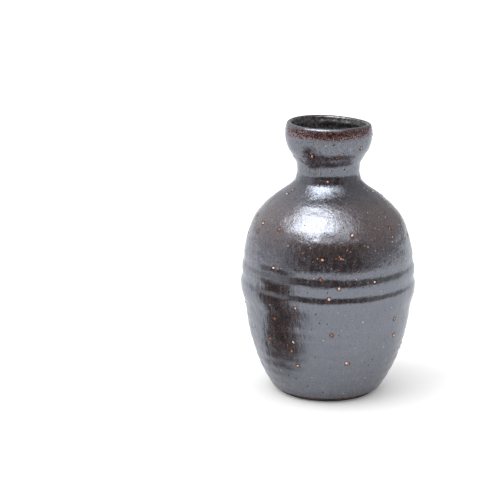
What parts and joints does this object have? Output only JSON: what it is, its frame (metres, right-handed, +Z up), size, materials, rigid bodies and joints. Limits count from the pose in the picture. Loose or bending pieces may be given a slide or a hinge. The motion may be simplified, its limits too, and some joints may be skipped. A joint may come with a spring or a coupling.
{
  "type": "sake bottle",
  "caption": "Round-bellied stoneware sake bottle with a pinched neck, an open cup-shaped mouth and a dark metallic iron glaze.",
  "frame": {"origin": "on the table, under the middle of the foot", "axes": "+Z up along the bottle's axis, towards the mouth; the bottle is round, so +X and +Y are free"},
  "size_m": [0.09, 0.09, 0.141],
  "materials": {
    "bare_clay": "matt, slightly gritty fired stoneware",
    "liner_glaze": "glossy dark grey-green",
    "dark_glaze": "metallic gun-metal sheen over dark brown",
    "feldspar": "pale, half-melted stone grain",
    "iron": "matt rusty brown grain"
  },
  "bodies": {
    "bottle": {"clay_body": "bare_clay", "inner_glaze": "liner_glaze", "outer_glaze": "dark_glaze", "feldspar_grit": "feldspar", "iron_grit": "iron"}
  },
  "joints": []
}
